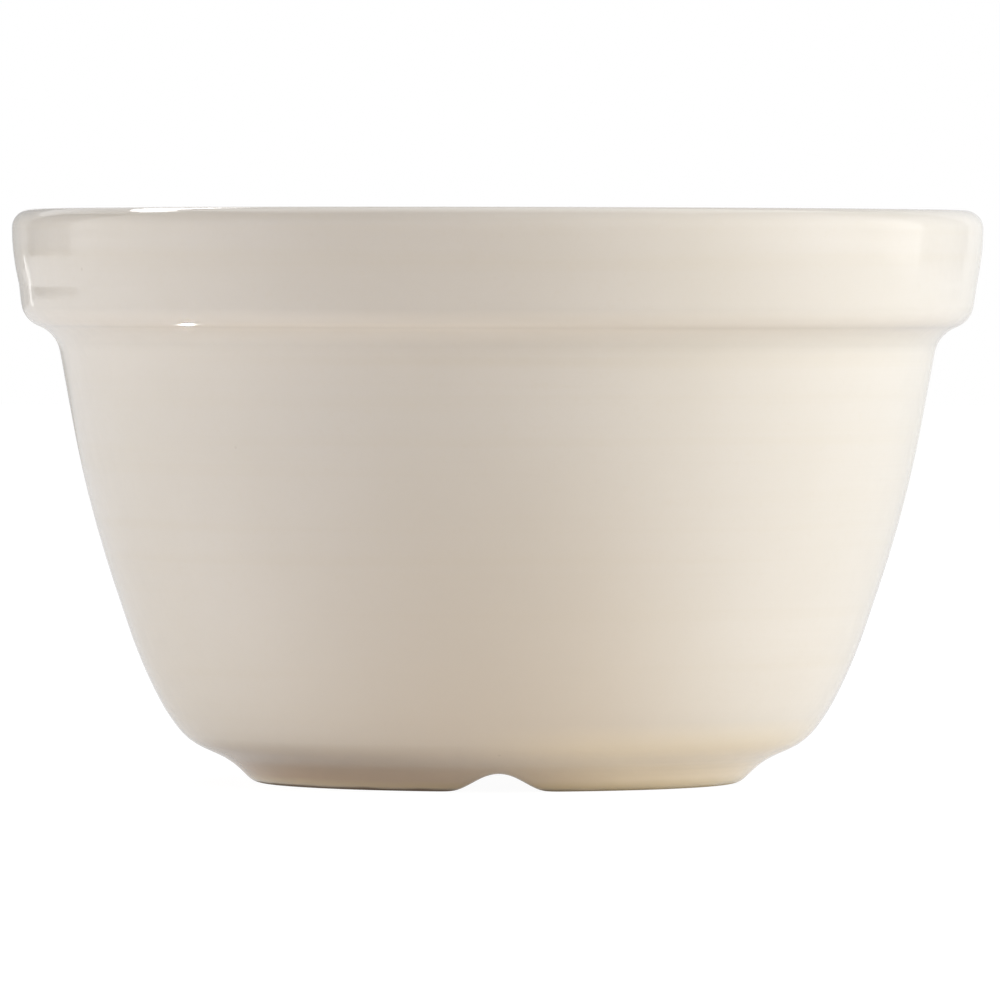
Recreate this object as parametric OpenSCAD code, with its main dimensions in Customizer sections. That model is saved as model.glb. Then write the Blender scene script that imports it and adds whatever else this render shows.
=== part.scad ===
// Pudding mould: a glazed stoneware pudding basin in one piece, with a thick
// collar round the rim, a rounded shoulder and a foot ring with drain notches.
// Millimetres, +Z up. The basin stands on Z = 0 and its middle is the Z axis.
// One notch points to the front, along -Y.

/* [Main sizes] */

// Outside diameter over the collar
rim_d = 160; // [140:1:200]

// Height from the table to the top of the lip
height = 94.3; // [80:0.1:125]

// Diameter of the foot at the table, before its edge is eased
foot_d = 80; // [66:1:90]

// Thickness of the wall
wall_t = 5.5; // [4:0.1:7]

// Thickness of the floor over the recess
floor_t = 5.5; // [4.5:0.1:8]

/* [Collar] */

// Height of the collar face, from the lip down to its lower edge
collar_h = 18.4; // [14:0.1:24]

// How far the collar face leans in at its lower edge
collar_lean = 2; // [0.8:0.1:3]

// How far the collar stands out from the neck below it
collar_out = 5.4; // [3.5:0.1:7]

// Rise of the slope under the collar, from the neck to the lower edge
ledge_rise = 2.2; // [1.2:0.1:3.5]

// Height at the top of the collar over which the face is upright
collar_upright = 6.1; // [5:0.1:7]

// Rounding of the lip on the outside
lip_outer_round = 3.2; // [1.5:0.1:3.4]

// Rounding of the lip on the inside
lip_inner_round = 4; // [2:0.1:5]

// Rounding of the collar's lower edge
collar_edge_round = 4.5; // [2:0.1:4.8]

// Rounding of the hollow between wall and collar
neck_round = 5.4; // [2:0.1:6]

/* [Wall] */

// Slow curve of the upper wall, as a radius
upper_wall_round = 200; // [120:1:210]

// Curve of the lower wall, as a radius
lower_wall_round = 80; // [45:1:84]

// Curve where the wall turns in to the shoulder, as a radius
turn_round = 24.4; // [14:0.1:25]

// Rounding of the shoulder
shoulder_round = 11.3; // [6:0.1:11.5]

// Rounding of the inside corner between wall and floor
floor_round = 20; // [12:0.5:26]

/* [Foot] */

// Height of the foot ring, up to the hollow under the shoulder
foot_h = 3.7; // [3.4:0.1:4.2]

// How far the foot widens from the table up to that hollow
foot_flare = 4.1; // [3.2:0.1:5]

// Width of the shoulder's underside beside the foot
shoulder_w = 7; // [6.6:0.1:8.5]

// Rise of the shoulder's underside over that width
shoulder_rise = 3.1; // [2.6:0.1:3.6]

// Hollow between foot and shoulder, as a radius
cove_round = 13.5; // [6:0.1:14]

// Rounding of the foot's outer edge at the table
foot_edge_round = 3.4; // [1:0.1:4]

// Width of the foot ring at the table, before its edges are eased
foot_ring_w = 6; // [4.5:0.1:9]

// Depth of the recess inside the foot ring
recess_h = 3.4; // [2.5:0.1:4.5]

// Rounding of the recess, at its edge and in its corner
recess_round = 1.2; // [0.5:0.1:1.6]

/* [Notches] */

// Number of notches through the foot ring
notch_count = 3; // [1:1:6]

// How far the top of a notch stays below the recess
notch_drop = 0.3; // [0.2:0.1:1.2]

// Slope of a notch's sides, in degrees
notch_slope = 30; // [24:1:42]

// Rounding of a notch, at its top and beside the table
notch_round = 6.2; // [3:0.1:6.4]

/* [Hidden] */

$fa = 2;
$fs = 0.4;

rim_r = rim_d / 2;
collar_low_r = rim_r - collar_lean;
collar_low_z = height - collar_h;
neck = [collar_low_r - collar_out, collar_low_z - ledge_rise];
foot_r = foot_d / 2;
cove = [foot_r + foot_flare, foot_h];
shoulder = cove + [shoulder_w, shoulder_rise];
floor_z = recess_h + floor_t;
recess_r = foot_r - foot_ring_w;
// The recess leans in as it rises, like the draft of a mould
recess_top_r = recess_r - recess_h / 2;

// A corner of the wall, as shares of the way out and up from shoulder to neck
function wall_at(out, up) = [
    shoulder[0] + out * (neck[0] - shoulder[0]),
    shoulder[1] + up * (neck[1] - shoulder[1])
];
turn = wall_at(0.167, 0.075);
lower_wall = wall_at(0.351, 0.187);
upper_wall = wall_at(0.763, 0.583);

// The inside runs beside the two upper stretches of the wall
function upright_lean(low, high) = atan2(high[0] - low[0], high[1] - low[1]);
lean_top = upright_lean(upper_wall, neck);
lean_mid = upright_lean(lower_wall, upper_wall);
lean_both = (lean_top + lean_mid) / 2;
inner_corner_t = wall_t / cos((lean_mid - lean_top) / 2);
inner_wall = upper_wall + inner_corner_t * [-cos(lean_both), sin(lean_both)];
lip_inner_r = inner_wall[0] + (height - inner_wall[1]) * tan(lean_top);
floor_r = inner_wall[0] - (inner_wall[1] - floor_z) * tan(lean_mid);

// Section of the basin from the axis out, each corner as [radius, height, rounding]
section = [
    [0, recess_h, 0],
    [recess_top_r, recess_h, recess_round],
    [recess_r, 0, recess_round],
    [foot_r, 0, foot_edge_round],
    [cove[0], cove[1], cove_round],
    [shoulder[0], shoulder[1], shoulder_round],
    [turn[0], turn[1], turn_round],
    [lower_wall[0], lower_wall[1], lower_wall_round],
    [upper_wall[0], upper_wall[1], upper_wall_round],
    [neck[0], neck[1], neck_round],
    [collar_low_r, collar_low_z, collar_edge_round],
    [rim_r, height - collar_upright, collar_upright * 5.5],
    [rim_r, height, lip_outer_round],
    [lip_inner_r, height, lip_inner_round],
    [inner_wall[0], inner_wall[1], upper_wall_round - wall_t],
    [floor_r, floor_z, floor_round],
    [0, floor_z, 0]
];

// Corners become arcs, drawn as short straight steps that stay this near the true arc
arc_error = 0.04;
arc_step_max = 12;

function corner(list, i) = list[(i + len(list)) % len(list)];
function spot(c) = [c[0], c[1]];
function unit(v) = v / norm(v);
function to_prev(list, i) = unit(spot(corner(list, i - 1)) - spot(list[i]));
function to_next(list, i) = unit(spot(corner(list, i + 1)) - spot(list[i]));
function turn_angle(list, i) = 180 - acos(to_prev(list, i) * to_next(list, i));
function arc_start(list, i) = spot(list[i])
    + list[i][2] * tan(turn_angle(list, i) / 2) * to_prev(list, i);
function arc_centre(list, i) = spot(list[i])
    + list[i][2] / cos(turn_angle(list, i) / 2) * unit(to_prev(list, i) + to_next(list, i));
function arc_side(list, i) = sign(cross(to_next(list, i), to_prev(list, i)));
function arc_steps(list, i) = ceil(
    turn_angle(list, i) / min(arc_step_max, 2 * acos(1 - arc_error / list[i][2]))
);
function swing(v, angle) = [
    v[0] * cos(angle) - v[1] * sin(angle),
    v[0] * sin(angle) + v[1] * cos(angle)
];
function arc_points(list, i) = [
    for (k = [0 : arc_steps(list, i)])
        arc_centre(list, i) + swing(
            arc_start(list, i) - arc_centre(list, i),
            arc_side(list, i) * turn_angle(list, i) * k / arc_steps(list, i)
        )
];

// An outline, run anticlockwise, whose corners [x, y, rounding] are rounded off
module rounded_outline(list) {
    polygon([
        for (i = [0 : len(list) - 1])
            each list[i][2] > 0 ? arc_points(list, i) : [spot(list[i])]
    ]);
}

// Outline of a notch as seen from the front; its feet end just under the table
notch_h = recess_h - notch_drop;
notch_peak = notch_h + notch_round * (1 / cos(notch_slope) - 1);
notch_sink = 0.05;
notch_half_w = (notch_peak + notch_sink) / tan(notch_slope);
notch_reach = notch_half_w + notch_round * tan(notch_slope / 2) + 0.1;
notch_outline = [
    [-notch_reach, -1, 0],
    [notch_reach, -1, 0],
    [notch_reach, -notch_sink, 0],
    [notch_half_w, -notch_sink, notch_round],
    [0, notch_peak, notch_round],
    [-notch_half_w, -notch_sink, notch_round],
    [-notch_reach, -notch_sink, 0]
];
notch_from = recess_top_r - 6;
notch_to = cove[0] + 3;

module basin() {
    color([0.87, 0.81, 0.71])
    difference() {
        rotate_extrude() rounded_outline(section);
        for (i = [0 : notch_count - 1])
            rotate([0, 0, i * 360 / notch_count])
            translate([0, -notch_from, 0])
            rotate([90, 0, 0])
            linear_extrude(height = notch_to - notch_from) rounded_outline(notch_outline);
    }
}

basin();
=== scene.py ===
import bpy, bmesh, math
from mathutils import Matrix, Quaternion, Vector


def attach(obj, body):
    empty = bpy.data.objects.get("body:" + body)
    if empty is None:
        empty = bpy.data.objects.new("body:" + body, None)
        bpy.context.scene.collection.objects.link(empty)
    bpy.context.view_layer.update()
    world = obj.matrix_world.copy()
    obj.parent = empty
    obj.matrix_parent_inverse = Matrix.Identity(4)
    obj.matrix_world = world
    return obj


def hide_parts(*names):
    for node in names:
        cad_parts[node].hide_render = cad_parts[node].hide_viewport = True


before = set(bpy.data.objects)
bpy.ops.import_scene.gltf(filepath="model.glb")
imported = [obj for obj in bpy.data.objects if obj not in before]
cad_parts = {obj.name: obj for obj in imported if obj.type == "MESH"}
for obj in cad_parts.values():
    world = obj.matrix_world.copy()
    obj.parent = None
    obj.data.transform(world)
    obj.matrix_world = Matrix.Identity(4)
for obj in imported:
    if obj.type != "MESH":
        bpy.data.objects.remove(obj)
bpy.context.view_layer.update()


print("frame loaded:", sorted(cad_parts))

mm = 0.001
white = (1.0, 1.0, 1.0)


# section of the basin, in mm, with the same sizes as the part's source
basinSizes = dict(
    rimRadius=80.0, height=94.3, footRadius=40.0, wall=5.5, floor=5.5,
    collarHeight=18.4, collarLean=2.0, collarOut=5.4, ledgeRise=2.2,
    collarUpright=6.1, collarRoundShare=5.5, collarEdgeRound=4.5, neckRound=5.4,
    lipOuterRound=3.2, lipInnerRound=4.0,
    upperWallRound=200.0, lowerWallRound=80.0, turnRound=24.4, shoulderRound=11.3, floorRound=20.0,
    turnAt=(0.167, 0.075), lowerWallAt=(0.351, 0.187), upperWallAt=(0.763, 0.583),  # out and up, as shares
    footHeight=3.7, footFlare=4.1, shoulderWidth=7.0, shoulderRise=3.1, coveRound=13.5,
    footEdgeRound=3.4, footRingWidth=6.0, recessDepth=3.4, recessRound=1.2,
)


def basinCorners(s):
    collarLow = (s["rimRadius"] - s["collarLean"], s["height"] - s["collarHeight"])
    neck = (collarLow[0] - s["collarOut"], collarLow[1] - s["ledgeRise"])
    cove = (s["footRadius"] + s["footFlare"], s["footHeight"])
    shoulder = (cove[0] + s["shoulderWidth"], cove[1] + s["shoulderRise"])

    def wallAt(out, up):
        return (shoulder[0] + out * (neck[0] - shoulder[0]), shoulder[1] + up * (neck[1] - shoulder[1]))

    turn, lowerWall, upperWall = wallAt(*s["turnAt"]), wallAt(*s["lowerWallAt"]), wallAt(*s["upperWallAt"])

    # the inside runs beside the two upper stretches of the wall
    leanTop = math.atan2(neck[0] - upperWall[0], neck[1] - upperWall[1])
    leanMid = math.atan2(upperWall[0] - lowerWall[0], upperWall[1] - lowerWall[1])
    leanBoth = (leanTop + leanMid) / 2
    inset = s["wall"] / math.cos((leanMid - leanTop) / 2)
    innerWall = (upperWall[0] - inset * math.cos(leanBoth), upperWall[1] + inset * math.sin(leanBoth))
    lipInner = innerWall[0] + (s["height"] - innerWall[1]) * math.tan(leanTop)
    floorZ = s["recessDepth"] + s["floor"]
    floorEdge = innerWall[0] - (innerWall[1] - floorZ) * math.tan(leanMid)
    recess = s["footRadius"] - s["footRingWidth"]
    return [  # radius, height, rounding
        (0, s["recessDepth"], 0),
        (recess - s["recessDepth"] / 2, s["recessDepth"], s["recessRound"]),
        (recess, 0, s["recessRound"]),
        (s["footRadius"], 0, s["footEdgeRound"]),
        (*cove, s["coveRound"]),
        (*shoulder, s["shoulderRound"]),
        (*turn, s["turnRound"]),
        (*lowerWall, s["lowerWallRound"]),
        (*upperWall, s["upperWallRound"]),
        (*neck, s["neckRound"]),
        (*collarLow, s["collarEdgeRound"]),
        (s["rimRadius"], s["height"] - s["collarUpright"], s["collarUpright"] * s["collarRoundShare"]),
        (s["rimRadius"], s["height"], s["lipOuterRound"]),
        (lipInner, s["height"], s["lipInnerRound"]),
        (*innerWall, s["upperWallRound"] - s["wall"]),
        (floorEdge, floorZ, s["floorRound"]),
        (0, floorZ, 0),
    ]


# how finely the section is cut, in mm and degrees: finest in the foot ring and at the finger mark
sectionSteps = dict(
    fineStep=0.4, otherStep=2.6, arcDegrees=9.0, shortest=1e-4, slack=1e-6,
    footTop=5.2, footInside=28.0, markTop=86.0, markFoot=78.0, markInside=76.0,
)


def roundedPath(corners, steps):
    path = [Vector(corners[0][:2])]
    for before, here, after in zip(corners, corners[1:], corners[2:]):
        spot = Vector(here[:2])
        toBefore = (Vector(before[:2]) - spot).normalized()
        toAfter = (Vector(after[:2]) - spot).normalized()
        turn = math.pi - toBefore.angle(toAfter)
        start = spot + toBefore * here[2] * math.tan(turn / 2)
        centre = spot + (toBefore + toAfter).normalized() * here[2] / math.cos(turn / 2)
        side = 1 if toBefore.cross(toAfter) < 0 else -1
        arm = start - centre
        byAngle = math.ceil(math.degrees(turn) / steps["arcDegrees"])
        byLength = math.ceil(turn * here[2] / steps["otherStep"])
        pieces = max(2, byAngle, byLength)
        for k in range(pieces + 1):
            swing = side * turn * k / pieces
            path.append(centre + Vector((arm.x * math.cos(swing) - arm.y * math.sin(swing),
                                         arm.x * math.sin(swing) + arm.y * math.cos(swing))))
    path.append(Vector(corners[-1][:2]))
    return path


def sectionPoints(corners, steps):
    path = roundedPath(corners, steps)
    fine = [path[0]]
    for a, b in zip(path, path[1:]):
        length = (b - a).length
        if length < steps["shortest"]:
            continue
        inFoot = max(a.y, b.y) < steps["footTop"] and max(a.x, b.x) > steps["footInside"]
        inMark = steps["markFoot"] < max(a.y, b.y) < steps["markTop"] and min(a.x, b.x) > steps["markInside"]
        step = steps["fineStep"] if inFoot or inMark else steps["otherStep"]
        pieces = max(1, math.ceil(length / step - steps["slack"]))
        fine += [a + (b - a) * (k + 1) / pieces for k in range(pieces)]
    return fine


points = sectionPoints(basinCorners(basinSizes), sectionSteps)
sectionMesh = bpy.data.meshes.new("basinSection")
sectionEdges = [(k, k + 1) for k in range(len(points) - 1)]
sectionMesh.from_pydata([(p.x * mm, 0, p.y * mm) for p in points], sectionEdges, [])
turned = bpy.data.objects.new("basinTurned", sectionMesh)
bpy.context.scene.collection.objects.link(turned)
print("section drawn:", len(points), "points")


# node helpers
def addNode(tree, kind, inputs=None, **settings):
    node = tree.nodes.new(kind)
    for name, value in settings.items():
        setattr(node, name, value)
    for key, value in (inputs or {}).items():
        if isinstance(value, bpy.types.NodeSocket):
            tree.links.new(value, node.inputs[key])
        else:
            node.inputs[key].default_value = value
    return node


def doMath(tree, operation, a, b=None, c=None):
    given = {k: v for k, v in enumerate((a, b, c)) if v is not None}
    return addNode(tree, "ShaderNodeMath", given, operation=operation).outputs[0]


def product(tree, *shares):
    whole = shares[0]
    for share in shares[1:]:
        whole = doMath(tree, "MULTIPLY", whole, share)
    return whole


def doRamp(tree, value, span, lowTo=0.0, highTo=1.0):
    low, high = span
    inputs = {"Value": value, "From Min": low, "From Max": high, "To Min": lowTo, "To Max": highTo}
    return addNode(tree, "ShaderNodeMapRange", inputs, clamp=True).outputs[0]


def emptyTree(owner):
    owner.use_nodes = True
    owner.node_tree.nodes.clear()
    return owner.node_tree


# the glaze; a pair of numbers says between which two values a tint comes in or fades, in metres
# where they are heights, radii or places along X
glazeSettings = dict(
    cream=(0.765, 0.70, 0.60), warm=(0.75, 0.672, 0.545), pale=(0.785, 0.722, 0.63), low=(0.775, 0.68, 0.555),
    # the next two colours are painted light for the shaded neck under the collar
    paintedNeckLight=(0.91, 0.83, 0.72), collarEdge=(0.97, 0.885, 0.77),
    # the next two colours are painted shade and painted light for the hollow above the foot
    paintedCoveShade=(0.51, 0.375, 0.245), paintedFootLight=(0.865, 0.745, 0.56),
    # the clay colour is bare clay and also painted contact shadow
    olive=(0.66, 0.54, 0.33), bareClayAndShade=(0.21, 0.145, 0.085), speck=(0.50, 0.41, 0.31),
    cloudScale=22, cloudSpan=(0.38, 0.66),
    grainScale=900, grainSpan=(0.55, 0.8), grainShare=0.22,
    ringStretch=(6, 6, 420), ringSpan=(0.5, 0.72), ringShare=0.30,
    outerWall=(0.0695, 0.0710), outerFoot=(0.034, 0.037), outerFootLean=1.2,
    neckBelow=(0.0722, 0.0744), neckAbove=(0.0780, 0.0757),
    edgeBelow=(0.0743, 0.0748), edgeAbove=(0.0758, 0.0753), edgeSide=(0.030, -0.010),
    lowSpan=(0.060, 0.012), lowShare=0.9, lowLeft=(-0.045, -0.010), lowLeftShare=0.25,
    lowRight=(0.015, 0.038), lowRightShare=0.3,
    # spans and sides of the painted light and painted shade in the hollow above the foot
    paintedFootLightSpan=(0.0115, 0.0070), paintedFootLightSide=(-0.006, 0.014),
    paintedCoveShadeSpan=(0.0080, 0.0035), paintedCoveShadeSide=(0.020, -0.033), paintedCoveShadeRightShare=0.12,
    speckScale=170, speckSize=(0.06, 0.03), speckCrowd=60, speckSpan=(0.66, 0.70), speckShare=0.25,
    edgeWaveScale=140, edgeWave=0.0006, oliveSpan=(0.0018, 0.0008), oliveShare=0.7,
    # spans of the bare clay, which also place painted contact shadow, mostly on the -X side
    bareClayShadeSpan=(0.0006, 0.0003), bareClayShadeSide=(0.020, -0.010), bareClayShadeRightShare=0.12, clayUnder=(0.0394, 0.0386),
    roughness=(0.05, 0.10), sheenScale=45, sheenSpan=(0.3, 0.7), bareSpan=(0.0005, 0.0003), bareRoughness=0.6,
    peelScale=260, turningStretch=(8, 8, 900), turningShare=0.5, bumpDistance=0.00025, bumpStrength=0.14,
    mirrorIndex=1.5,
)


def makeGlaze(g):
    material = bpy.data.materials.new("creamGlaze")
    tree = emptyTree(material)
    out = addNode(tree, "ShaderNodeOutputMaterial")
    shader = addNode(tree, "ShaderNodeBsdfPrincipled", {"IOR": g["mirrorIndex"]})
    tree.links.new(shader.outputs[0], out.inputs["Surface"])
    place = addNode(tree, "ShaderNodeTexCoord").outputs["Object"]
    split = addNode(tree, "ShaderNodeSeparateXYZ", {0: place})
    sideways, height = split.outputs["X"], split.outputs["Z"]
    flat = addNode(tree, "ShaderNodeVectorMath", {0: place, 1: (1, 1, 0)}, operation="MULTIPLY").outputs[0]
    radius = addNode(tree, "ShaderNodeVectorMath", {0: flat}, operation="LENGTH").outputs["Value"]

    def stretched(scale):
        return addNode(tree, "ShaderNodeMapping", {"Vector": place, "Scale": scale}).outputs[0]

    def noise(vector, scale, detail):
        inputs = {"Vector": vector, "Scale": scale, "Detail": detail}
        return addNode(tree, "ShaderNodeTexNoise", inputs).outputs["Fac"]

    def ramp(value, span, lowTo=0.0, highTo=1.0):
        return doRamp(tree, value, span, lowTo, highTo)

    def mixed(amount, a, b):
        node = addNode(tree, "ShaderNodeMix", data_type="RGBA")
        for socket, value in zip((node.inputs[0], node.inputs[6], node.inputs[7]), (amount, a, b)):
            if isinstance(value, bpy.types.NodeSocket):
                tree.links.new(value, socket)
            else:
                socket.default_value = (*value, 1) if isinstance(value, tuple) else value
        return node.outputs[2]

    cloud = noise(place, g["cloudScale"], detail=3)
    colour = mixed(ramp(cloud, g["cloudSpan"]), g["cream"], g["pale"])
    grain = noise(place, g["grainScale"], detail=2)
    colour = mixed(ramp(grain, g["grainSpan"], 0, g["grainShare"]), colour, g["warm"])
    rings = noise(stretched(g["ringStretch"]), scale=1, detail=3)
    colour = mixed(ramp(rings, g["ringSpan"], 0, g["ringShare"]), colour, g["warm"])

    # painted light over the shade in the neck under the collar, brightest as a thin line at the collar's
    # lower edge on the -X side
    outerWall = ramp(radius, g["outerWall"])
    paintedNeckLight = product(tree, ramp(height, g["neckBelow"]), ramp(height, g["neckAbove"]), outerWall)
    colour = mixed(paintedNeckLight, colour, g["paintedNeckLight"])
    paintedCollarEdgeLine = product(tree, ramp(height, g["edgeBelow"]), ramp(height, g["edgeAbove"]), outerWall,
                       ramp(sideways, g["edgeSide"]))
    colour = mixed(paintedCollarEdgeLine, colour, g["collarEdge"])

    # the glaze is warmer low down, most of all in the middle
    warmSide = product(tree, ramp(sideways, g["lowLeft"], g["lowLeftShare"], 1.0),
                       ramp(sideways, g["lowRight"], 1.0, g["lowRightShare"]))
    lowDown = product(tree, ramp(height, g["lowSpan"], 0, g["lowShare"]), warmSide)
    colour = mixed(lowDown, colour, g["low"])

    # painted shade in the hollow above the foot, deepest on the -X side, and painted light there on the +X
    # side; the mask leans out as it rises, so it misses the inside of the bowl
    leaned = doMath(tree, "MULTIPLY_ADD", height, -g["outerFootLean"], radius)
    outerFoot = ramp(leaned, g["outerFoot"])
    paintedFootLightMask = product(tree, ramp(height, g["paintedFootLightSpan"]), ramp(sideways, g["paintedFootLightSide"]), outerFoot)
    colour = mixed(paintedFootLightMask, colour, g["paintedFootLight"])
    paintedCoveShadeMask = product(tree, ramp(height, g["paintedCoveShadeSpan"]), ramp(sideways, g["paintedCoveShadeSide"], g["paintedCoveShadeRightShare"], 1.0),
                   outerFoot)
    colour = mixed(paintedCoveShadeMask, colour, g["paintedCoveShade"])

    cells = addNode(tree, "ShaderNodeTexVoronoi", {"Vector": place, "Scale": g["speckScale"]})
    specks = ramp(cells.outputs["Distance"], g["speckSize"])
    crowd = ramp(noise(place, g["speckCrowd"], detail=0), g["speckSpan"], 0, g["speckShare"])
    colour = mixed(product(tree, specks, crowd), colour, g["speck"])

    # the glaze ends in an olive line, and the ring stands on bare clay; its dark brown is also painted
    # contact shadow, full on the -X side and faint on the +X side, while the flat base is clay all round
    wave = noise(place, g["edgeWaveScale"], detail=1)
    edgeWave = doMath(tree, "MULTIPLY_ADD", wave, g["edgeWave"], -g["edgeWave"] / 2)
    footHeight = doMath(tree, "ADD", height, edgeWave)
    colour = mixed(ramp(footHeight, g["oliveSpan"], 0, g["oliveShare"]), colour, g["olive"])
    bareClayShadeSide = doMath(tree, "MAXIMUM", ramp(sideways, g["bareClayShadeSide"], g["bareClayShadeRightShare"], 1.0),
                      ramp(radius, g["clayUnder"]))
    colour = mixed(product(tree, ramp(footHeight, g["bareClayShadeSpan"]), bareClayShadeSide), colour, g["bareClayAndShade"])
    tree.links.new(colour, shader.inputs["Base Color"])

    bare = ramp(footHeight, g["bareSpan"], 0, g["bareRoughness"])
    sheen = ramp(noise(place, g["sheenScale"], detail=2), g["sheenSpan"], *g["roughness"])
    tree.links.new(doMath(tree, "ADD", sheen, bare), shader.inputs["Roughness"])

    peel = noise(place, g["peelScale"], detail=2)
    turning = noise(stretched(g["turningStretch"]), scale=1, detail=2)
    relief = doMath(tree, "MULTIPLY_ADD", turning, g["turningShare"], peel)
    bump = addNode(tree, "ShaderNodeBump",
                   {"Height": relief, "Distance": g["bumpDistance"], "Strength": g["bumpStrength"]})
    tree.links.new(bump.outputs[0], shader.inputs["Normal"])
    return material


glaze = makeGlaze(glazeSettings)
print("glaze mixed")


# turning the section round the axis, with the notches raised in the foot ring
turnSettings = dict(
    steps=340, crowding=0.62, mergeGap=0.002 * mm, seed=11,
    notchCount=3, notchHeight=2.9 * mm, notchReach=10.5 * mm, notchBelow=-1.2 * mm, notchSoftness=1.6 * mm,
    markHeight=81.7 * mm, markDepth=0.125 * mm, markAbove=2.8 * mm, markBelow=2.5 * mm,
    markSide=(-0.65, -0.80), markOutside=(75.5 * mm, 76.5 * mm),  # side as cosine: -1 is the -X side
    glazeInset=0.05 * mm, unevenness=0.10 * mm, swellScale=14, seedStride=3.7,
    ridges=0.035 * mm, ridgeScale=330, ridgeSway=0.004, offTable=(0.1 * mm, 2.5 * mm),
)


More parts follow.
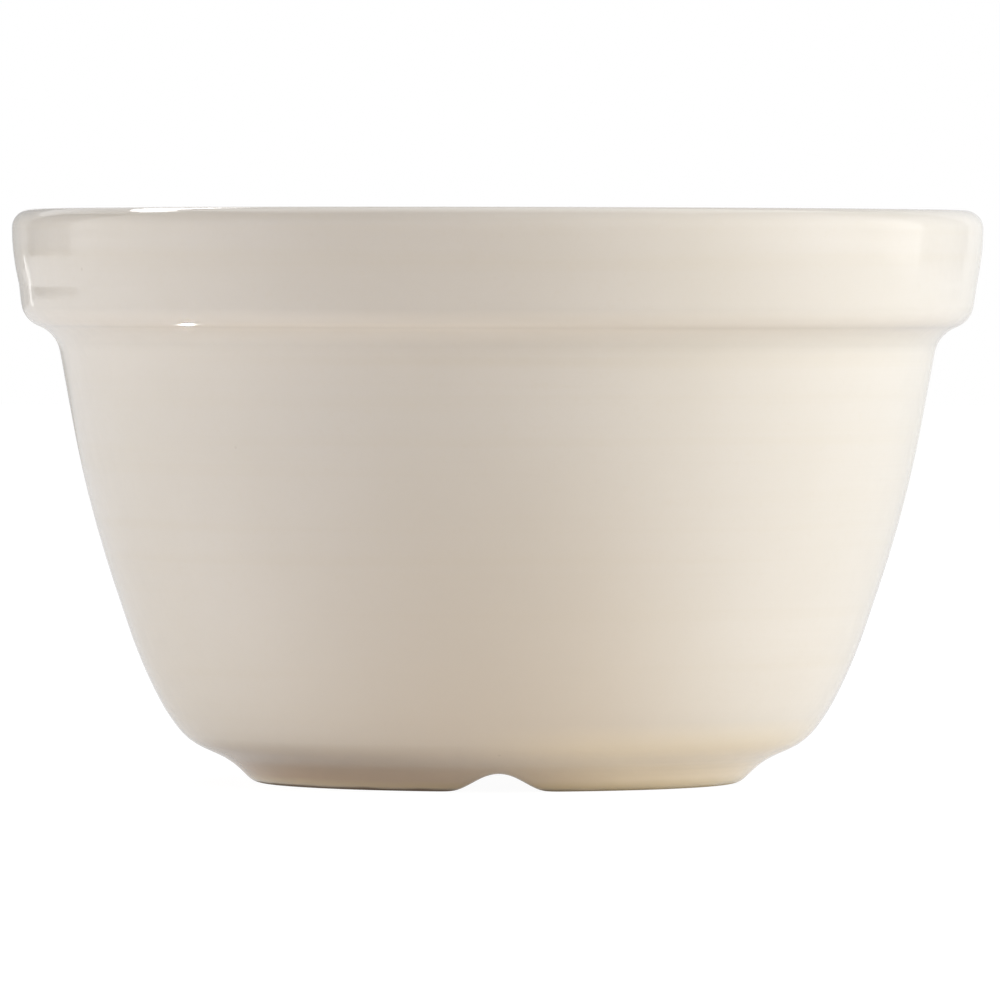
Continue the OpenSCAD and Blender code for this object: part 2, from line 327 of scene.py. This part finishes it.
def makeTurningTree(t):
    tree = bpy.data.node_groups.new("turnedBasin", "GeometryNodeTree")
    face = tree.interface
    face.new_socket("Section", in_out="INPUT", socket_type="NodeSocketGeometry")
    for name, kind in (("Section Points", "Int"), ("Turn Steps", "Int"), ("Notch Crowding", "Float"),
                       ("Notch Count", "Int"), ("Notch Height", "Float"), ("Notch Reach", "Float"),
                       ("Notch Below", "Float"), ("Notch Softness", "Float"), ("Glaze Inset", "Float"),
                       ("Unevenness", "Float"), ("Ridges", "Float"), ("Mark Height", "Float"),
                       ("Mark Depth", "Float"), ("Seed", "Int"), ("Glaze", "Material")):
        face.new_socket(name, in_out="INPUT", socket_type="NodeSocket" + kind)
    face.new_socket("Basin", in_out="OUTPUT", socket_type="NodeSocketGeometry")
    given = addNode(tree, "NodeGroupInput").outputs
    final = addNode(tree, "NodeGroupOutput")

    def whole(operation, a, b):
        return addNode(tree, "FunctionNodeIntegerMath", {0: a, 1: b}, operation=operation).outputs[0]

    # a grid of section points by turn steps; each column takes its shape from the section
    columns = whole("ADD", given["Turn Steps"], 1)
    grid = addNode(tree, "GeometryNodeMeshGrid",
                   {"Vertices X": columns, "Vertices Y": given["Section Points"]})
    index = addNode(tree, "GeometryNodeInputIndex").outputs[0]
    row = whole("MODULO", index, given["Section Points"])
    column = whole("DIVIDE_FLOOR", index, given["Section Points"])
    position = addNode(tree, "GeometryNodeInputPosition").outputs[0]
    sample = addNode(tree, "GeometryNodeSampleIndex", data_type="FLOAT_VECTOR", domain="POINT")
    tree.links.new(given["Section"], sample.inputs["Geometry"])
    tree.links.new(position, next(s for s in sample.inputs if s.name == "Value" and s.enabled))
    tree.links.new(row, sample.inputs["Index"])
    split = addNode(tree, "ShaderNodeSeparateXYZ", {0: next(s for s in sample.outputs if s.enabled)})
    radius, height = split.outputs["X"], split.outputs["Z"]

    # columns stand closer together beside the notches
    share = doMath(tree, "DIVIDE", column, given["Turn Steps"])
    even = doMath(tree, "MULTIPLY", share, 2 * math.pi)
    wave = doMath(tree, "SINE", doMath(tree, "MULTIPLY", even, given["Notch Count"]))
    reach = doMath(tree, "DIVIDE", given["Notch Crowding"], given["Notch Count"])
    shift = doMath(tree, "MULTIPLY", wave, reach)
    angle = doMath(tree, "SUBTRACT", even, shift)

    # each notch is a rounded bell, measured across its own middle
    halfTurn = doMath(tree, "DIVIDE", math.pi, given["Notch Count"])
    fromNotch = doMath(tree, "WRAP", angle, halfTurn, doMath(tree, "MULTIPLY", halfTurn, -1))
    across = doMath(tree, "ABSOLUTE", doMath(tree, "MULTIPLY", radius, doMath(tree, "SINE", fromNotch)))
    bellInputs = {"Value": across, "From Min": 0, "From Max": given["Notch Reach"],
                  "To Min": given["Notch Height"], "To Max": given["Notch Below"]}
    bell = addNode(tree, "ShaderNodeMapRange", bellInputs, interpolation_type="SMOOTHSTEP").outputs[0]
    raised = doMath(tree, "SMOOTH_MAX", height, bell, given["Notch Softness"])

    # a finger left a shallow mark round the -X side of the collar
    facing = doMath(tree, "SUBTRACT", angle, math.pi / 2)
    sideways = doMath(tree, "COSINE", facing)
    aboveMark = doMath(tree, "SUBTRACT", height, given["Mark Height"])
    mark = doMath(tree, "MINIMUM", doRamp(tree, aboveMark, (t["markAbove"], 0.0)),
                  doRamp(tree, aboveMark, (-t["markBelow"], 0.0)))
    mark = product(tree, mark, doRamp(tree, sideways, t["markSide"]), doRamp(tree, radius, t["markOutside"]))
    marked = doMath(tree, "SUBTRACT", radius, doMath(tree, "MULTIPLY", mark, given["Mark Depth"]))
    x = doMath(tree, "MULTIPLY", marked, sideways)
    y = doMath(tree, "MULTIPLY", marked, doMath(tree, "SINE", facing))
    spot = addNode(tree, "ShaderNodeCombineXYZ", {0: x, 1: y, 2: raised}).outputs[0]
    lathed = addNode(tree, "GeometryNodeSetPosition", {"Geometry": grid.outputs["Mesh"], "Position": spot})
    closed = addNode(tree, "GeometryNodeMergeByDistance",
                     {"Geometry": lathed.outputs[0], "Distance": t["mergeGap"]})

    # the surface stays inside the section by an uneven glaze-thin amount, but stands true on the table
    seed = doMath(tree, "MULTIPLY", given["Seed"], t["seedStride"])
    swell = addNode(tree, "ShaderNodeTexNoise",
                    {"Vector": position, "W": seed, "Scale": t["swellScale"], "Detail": 1},
                    noise_dimensions="4D").outputs[0]
    placeZ = addNode(tree, "ShaderNodeSeparateXYZ", {0: position}).outputs["Z"]
    ridgePlace = doMath(tree, "MULTIPLY_ADD", swell, t["ridgeSway"], placeZ)
    ridge = addNode(tree, "ShaderNodeTexNoise", {"W": ridgePlace, "Scale": t["ridgeScale"], "Detail": 1},
                    noise_dimensions="1D").outputs[0]
    depth = doMath(tree, "MULTIPLY_ADD", swell, given["Unevenness"], given["Glaze Inset"])
    depth = doMath(tree, "MULTIPLY_ADD", ridge, given["Ridges"], depth)
    depth = product(tree, depth, doRamp(tree, placeZ, t["offTable"]), -1)
    normal = addNode(tree, "GeometryNodeInputNormal").outputs[0]
    inward = addNode(tree, "ShaderNodeVectorMath", {0: normal, "Scale": depth}, operation="SCALE").outputs[0]
    uneven = addNode(tree, "GeometryNodeSetPosition", {"Geometry": closed.outputs[0], "Offset": inward})
    smooth = addNode(tree, "GeometryNodeSetShadeSmooth", {"Geometry": uneven.outputs[0]})
    real = addNode(tree, "GeometryNodeRealizeInstances", {"Geometry": smooth.outputs[0]})
    dressed = addNode(tree, "GeometryNodeSetMaterial",
                      {"Geometry": real.outputs[0], "Material": given["Glaze"]})
    tree.links.new(dressed.outputs[0], final.inputs[0])
    return tree


def turnBasin(shape, t, count, material):
    tree = makeTurningTree(t)
    modifier = shape.modifiers.new("turning", "NODES")
    modifier.node_group = tree
    values = {
        "Section Points": count, "Turn Steps": t["steps"], "Notch Crowding": t["crowding"],
        "Notch Count": t["notchCount"], "Notch Height": t["notchHeight"], "Notch Reach": t["notchReach"],
        "Notch Below": t["notchBelow"], "Notch Softness": t["notchSoftness"], "Glaze Inset": t["glazeInset"],
        "Unevenness": t["unevenness"], "Ridges": t["ridges"], "Mark Height": t["markHeight"],
        "Mark Depth": t["markDepth"], "Seed": t["seed"], "Glaze": material,
    }
    for socket in tree.interface.items_tree:
        if socket.in_out == "INPUT" and socket.name in values:
            modifier[socket.identifier] = values[socket.name]
    ready = shape.evaluated_get(bpy.context.evaluated_depsgraph_get())
    solid = bpy.data.meshes.new_from_object(ready)
    shape.modifiers.remove(modifier)
    work = bmesh.new()
    work.from_mesh(solid)
    bmesh.ops.recalc_face_normals(work, faces=work.faces)
    if work.calc_volume(signed=True) < 0:
        bmesh.ops.reverse_faces(work, faces=work.faces)
    openEdges = sum(1 for edge in work.edges if len(edge.link_faces) != 2)
    volume = round(work.calc_volume() * 1e6, 1)
    print("basin turned:", len(work.faces), "faces,", openEdges, "open edges,", volume, "cm3")
    work.to_mesh(solid)
    work.free()
    old = shape.data
    shape.data = solid
    bpy.data.meshes.remove(old)
    solid.name = "basinTurned"


turnBasin(turned, turnSettings, len(points), glaze)
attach(turned, "root")
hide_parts("basin")


# floor and world; both are white for the camera, and the glaze mirrors the floor a little darker
stageSettings = dict(
    floorSize=12.0, nearGlow=0.962, farGlow=1.0, glowReach=(0.12, 0.60), seenShade=0.10,
    mirroredGlow=0.55, mirroredShade=0.30, floorBounce=(0.86, 0.83, 0.78),
    worldSeen=1.0, worldLight=(1.0, 0.80, 0.45), worldStrength=0.17,
)


def mirroredRay(tree, rays):
    return doMath(tree, "MAXIMUM", rays["Is Glossy Ray"], rays["Is Transmission Ray"])


def makeFloor(s):
    side = s["floorSize"] / 2
    mesh = bpy.data.meshes.new("floor")
    corners = [(-side, -side, 0), (side, -side, 0), (side, side, 0), (-side, side, 0)]
    mesh.from_pydata(corners, [], [(0, 1, 2, 3)])
    floor = bpy.data.objects.new("floor", mesh)
    bpy.context.scene.collection.objects.link(floor)
    material = bpy.data.materials.new("paleFloor")
    tree = emptyTree(material)
    out = addNode(tree, "ShaderNodeOutputMaterial")
    rays = addNode(tree, "ShaderNodeLightPath").outputs
    place = addNode(tree, "ShaderNodeTexCoord").outputs["Object"]
    away = addNode(tree, "ShaderNodeVectorMath", {0: place}, operation="LENGTH").outputs["Value"]
    fade = doRamp(tree, away, s["glowReach"], s["nearGlow"], s["farGlow"])

    def glowing(strength, shade):
        glow = addNode(tree, "ShaderNodeEmission", {"Color": (*white, 1), "Strength": strength})
        paint = addNode(tree, "ShaderNodeBsdfDiffuse", {"Color": (shade, shade, shade, 1)})
        return addNode(tree, "ShaderNodeAddShader", {0: glow.outputs[0], 1: paint.outputs[0]}).outputs[0]

    bounce = addNode(tree, "ShaderNodeBsdfDiffuse", {"Color": (*s["floorBounce"], 1)}).outputs[0]
    mirrored = glowing(s["mirroredGlow"], s["mirroredShade"])
    other = addNode(tree, "ShaderNodeMixShader", {0: mirroredRay(tree, rays), 1: bounce, 2: mirrored})
    seen = glowing(fade, s["seenShade"])
    both = addNode(tree, "ShaderNodeMixShader", {0: rays["Is Camera Ray"], 1: other.outputs[0], 2: seen})
    tree.links.new(both.outputs[0], out.inputs["Surface"])
    mesh.materials.append(material)


def makeWorld(s):
    world = bpy.data.worlds.new("studio")
    bpy.context.scene.world = world
    tree = emptyTree(world)
    out = addNode(tree, "ShaderNodeOutputWorld")
    seen = addNode(tree, "ShaderNodeBackground", {"Color": (*white, 1), "Strength": s["worldSeen"]})
    light = addNode(tree, "ShaderNodeBackground",
                    {"Color": (*s["worldLight"], 1), "Strength": s["worldStrength"]})
    rays = addNode(tree, "ShaderNodeLightPath").outputs
    background = doMath(tree, "MAXIMUM", rays["Is Camera Ray"], mirroredRay(tree, rays))
    both = addNode(tree, "ShaderNodeMixShader", {0: background, 1: light.outputs[0], 2: seen.outputs[0]})
    tree.links.new(both.outputs[0], out.inputs["Surface"])


# grey curtains and one slim bright gap behind the basin, seen only in the glaze, in metres and degrees;
# the compass starts at the camera's side and runs to the right, and a curtain stands square to its own
# compass way, or to the one given as facing
curtains = [
    dict(name="curtainLeft", compass=-136.2, distance=1.079, width=0.835, height=0.8, glow=0.17,
         facing=-84.9),
    dict(name="curtainFarLeft", compass=-159, distance=1.30, width=0.60, height=0.5, glow=0.50),
    dict(name="curtainRight", compass=133.3, distance=0.802, width=0.628, height=0.8, glow=0.45, facing=84.1),
    dict(name="curtainFarRight", compass=157.5, distance=0.75, width=0.40, height=0.8, glow=0.80),
    dict(name="gapLeft", compass=-147.3, distance=0.622, width=0.023, height=0.03, glow=1.5, bottom=0.027),
]


def hangCurtain(c):
    turn = math.radians(c["compass"])
    facing = math.radians(c.get("facing", c["compass"]))
    away = Vector((math.sin(turn), -math.cos(turn), 0)) * c["distance"]
    away.z = c.get("bottom", 0)
    across = Vector((math.cos(facing), math.sin(facing), 0)) * c["width"] / 2
    up = Vector((0, 0, c["height"]))
    corners = [away - across, away + across, away + across + up, away - across + up]
    mesh = bpy.data.meshes.new(c["name"])
    mesh.from_pydata(corners, [], [(0, 1, 2, 3)])
    curtain = bpy.data.objects.new(c["name"], mesh)
    bpy.context.scene.collection.objects.link(curtain)
    material = bpy.data.materials.new(c["name"])
    tree = emptyTree(material)
    out = addNode(tree, "ShaderNodeOutputMaterial")
    cloth = addNode(tree, "ShaderNodeEmission", {"Color": (*white, 1), "Strength": c["glow"]})
    tree.links.new(cloth.outputs[0], out.inputs["Surface"])
    mesh.materials.append(material)
    curtain.visible_camera = False
    curtain.visible_diffuse = False
    curtain.visible_shadow = False


makeFloor(stageSettings)
makeWorld(stageSettings)
for curtain in curtains:
    hangCurtain(curtain)
print("floor, curtains and world set")


# lamps, by the same compass, with their power in watts; the big soft ones only shade the glaze, and the
# mirrored ones are only seen in it
lamps = [
    dict(name="keyHigh", compass=80, rise=30, size=(1.4, 1.0), power=17.8, colour=(0.754, 0.821, 1.0)),
    dict(name="keyLow", compass=75, rise=12, size=(1.4, 0.8), power=12.0, colour=(0.92, 1.0, 1.0)),
    dict(name="fillLeft", compass=-72, rise=12, size=(1.2, 1.0), power=11.3, colour=(0.55, 0.70, 1.0)),
    dict(name="fillLow", compass=-95, rise=5, size=(1.2, 0.4), power=9.2, colour=(1.0, 0.95, 0.85)),
    dict(name="front", compass=0, rise=10, size=(1.5, 0.8), power=3.8, colour=(1.0, 0.84, 0.77)),
    dict(name="behind", compass=180, rise=50, size=(1.6, 1.2), power=7.8, colour=(0.75, 0.82, 1.0)),
    dict(name="lipCard", compass=-154, rise=40.4, size=(0.85, 0.14), power=2.23, mirrored=True, roll=28),
    dict(name="lipGlow", compass=180, rise=68, size=(1.5, 1.1), power=5.2, mirrored=True),
    dict(name="cardRight", compass=105, rise=10, size=(0.15, 0.30), power=0.045, mirrored=True,
         distance=0.55),
    dict(name="neckSpark", compass=-157.2, rise=-42.1, size=(0.009, 0.0015), power=0.00007, mirrored=True,
         distance=0.095, aim=(-0.0493, -0.0583, 0.0752), spread=4),
]
usualAim = (0, 0, 0.05)  # the middle of the basin
usualDistance = 1.6


def compassWay(compass, rise):
    turn, up = math.radians(compass), math.radians(rise)
    return Vector((math.sin(turn) * math.cos(up), -math.cos(turn) * math.cos(up), math.sin(up)))


def hangLamp(lamp):
    away = compassWay(lamp["compass"], lamp["rise"])
    light = bpy.data.lights.new(lamp["name"], "AREA")
    light.shape = "RECTANGLE"
    light.size, light.size_y = lamp["size"]
    light.energy = lamp["power"]
    light.color = lamp.get("colour", white)
    light.spread = math.radians(lamp.get("spread", 180))
    hung = bpy.data.objects.new(lamp["name"], light)
    bpy.context.scene.collection.objects.link(hung)
    hung.location = Vector(lamp.get("aim", usualAim)) + away * lamp.get("distance", usualDistance)
    roll = Quaternion((0, 0, 1), math.radians(lamp.get("roll", 0)))
    hung.rotation_euler = (away.to_track_quat("Z", "Y") @ roll).to_euler()
    hung.visible_glossy = lamp.get("mirrored", False)
    hung.visible_diffuse = not hung.visible_glossy
    hung.visible_camera = False


for lamp in lamps:
    hangLamp(lamp)
print("lamps hung:", len(lamps))


# camera, a long lens at the height of the collar that looks slightly down; rows and columns are in
# pixels of the finished picture, and angles in degrees
view = dict(
    sensorWidth=36, picturePixels=1000, focalPixels=11750, pixelsPerMm=6.075,
    footRow=782.0, horizonRow=284.5, axisColumn=497.2, roll=0.1, orbit=-0.5, farthest=50,
)


def setCamera(v):
    lens = bpy.data.cameras.new("camera")
    lens.sensor_width = v["sensorWidth"]
    lens.lens = v["sensorWidth"] * v["focalPixels"] / v["picturePixels"]
    lens.clip_end = v["farthest"]
    camera = bpy.data.objects.new("camera", lens)
    bpy.context.scene.collection.objects.link(camera)
    middle = v["picturePixels"] / 2
    away = v["focalPixels"] / v["pixelsPerMm"] * mm
    up = (v["footRow"] - v["horizonRow"]) / v["pixelsPerMm"] * mm
    aside = (middle - v["axisColumn"]) / v["pixelsPerMm"] * mm
    pitch = math.atan((middle - v["horizonRow"]) / v["focalPixels"])
    turn = Matrix.Rotation(math.pi / 2 - pitch, 4, "X") @ Matrix.Rotation(math.radians(v["roll"]), 4, "Z")
    orbit = Matrix.Rotation(math.radians(v["orbit"]), 4, "Z")
    camera.matrix_world = orbit @ Matrix.Translation((aside, -away, up)) @ turn
    bpy.context.scene.camera = camera


setCamera(view)
bpy.context.scene.view_settings.view_transform = "Standard"
print("camera set")
